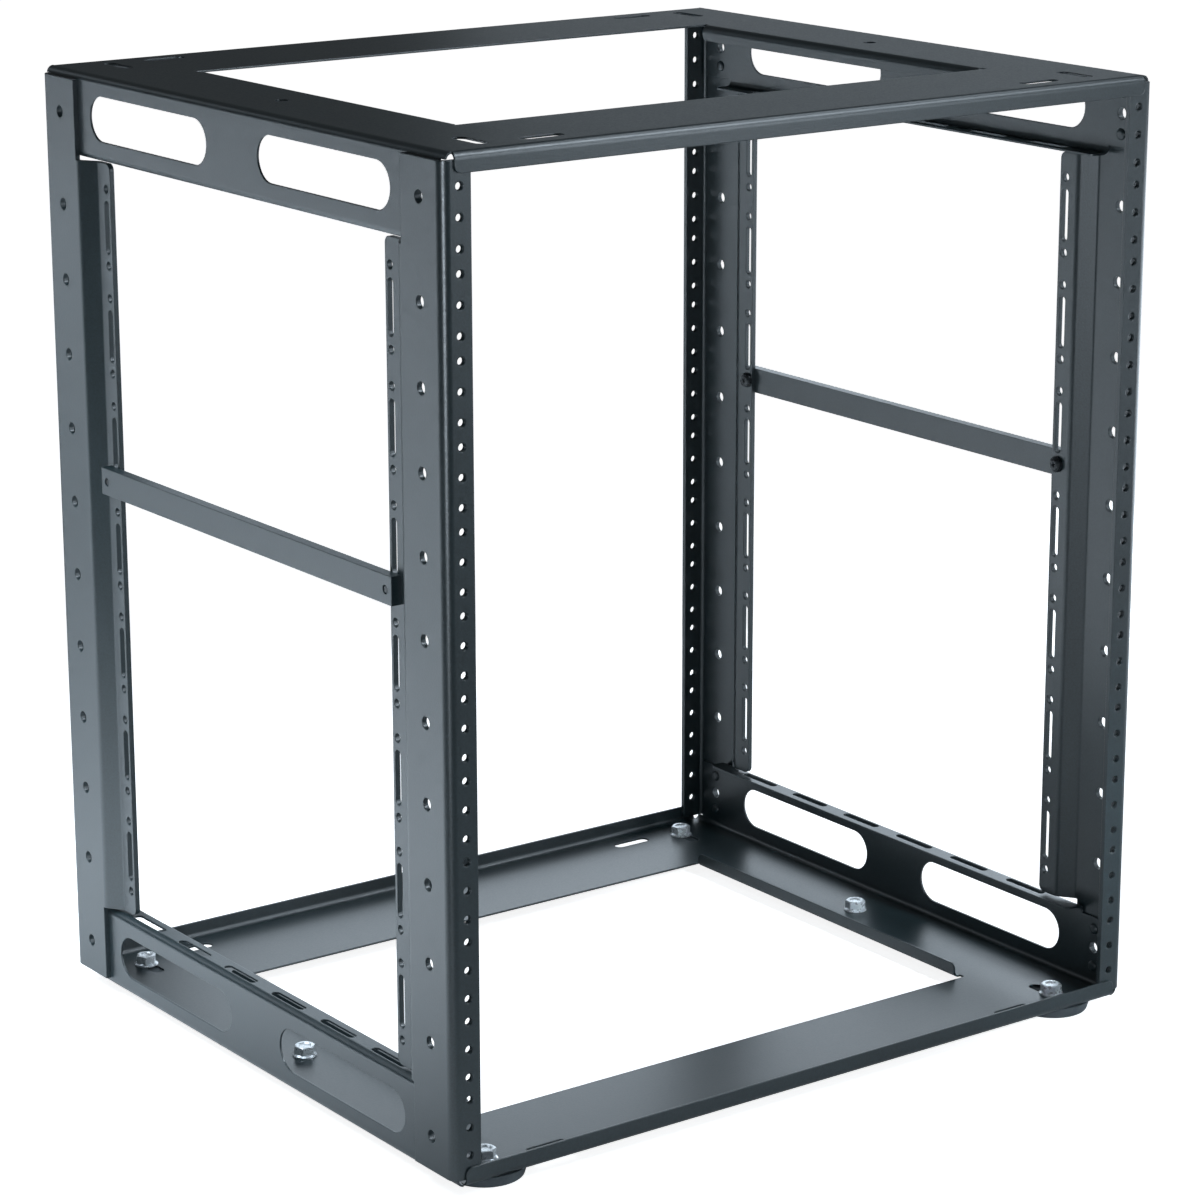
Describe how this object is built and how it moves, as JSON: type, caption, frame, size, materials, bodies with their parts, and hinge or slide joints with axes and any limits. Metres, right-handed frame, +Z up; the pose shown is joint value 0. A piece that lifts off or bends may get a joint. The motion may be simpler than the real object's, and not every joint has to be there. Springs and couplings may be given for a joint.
{
  "type": "open-frame equipment rack",
  "caption": "Short open-frame rack of folded black sheet steel with perforated corner rails, open top and bottom pans, side bars and rubber feet.",
  "frame": {"origin": "on the floor plane under the feet, below the middle of the frame", "axes": "+Z up, -Y towards the front rails, +X to the right as seen from the front"},
  "size_m": [0.4868, 0.4168, 0.5626],
  "materials": {
    "powder_coat": "fine-textured charcoal black powder coat on steel",
    "black_screws": "glossy black oxide steel",
    "zinc_bolts": "bright zinc-plated steel",
    "rubber_feet": "matt black moulded rubber"
  },
  "bodies": {
    "root": {"front_left_rail": "powder_coat", "front_right_rail": "powder_coat", "rear_left_rail": "powder_coat", "rear_right_rail": "powder_coat", "bottom_pan": "powder_coat", "top_pan": "powder_coat", "left_side_bar": "powder_coat", "right_side_bar": "powder_coat", "front_left_bar_screw": "black_screws", "front_left_foot": "rubber_feet", "front_left_foot_bolt": "zinc_bolts", "rear_left_bar_screw": "black_screws", "rear_left_foot": "rubber_feet", "rear_left_foot_bolt": "zinc_bolts", "front_right_bar_screw": "black_screws", "front_right_foot": "rubber_feet", "front_right_foot_bolt": "zinc_bolts", "rear_right_bar_screw": "black_screws", "rear_right_foot": "rubber_feet", "rear_right_foot_bolt": "zinc_bolts", "middle_left_bolt": "zinc_bolts", "middle_left_nut": "zinc_bolts", "middle_right_bolt": "zinc_bolts", "middle_right_nut": "zinc_bolts"}
  },
  "joints": []
}
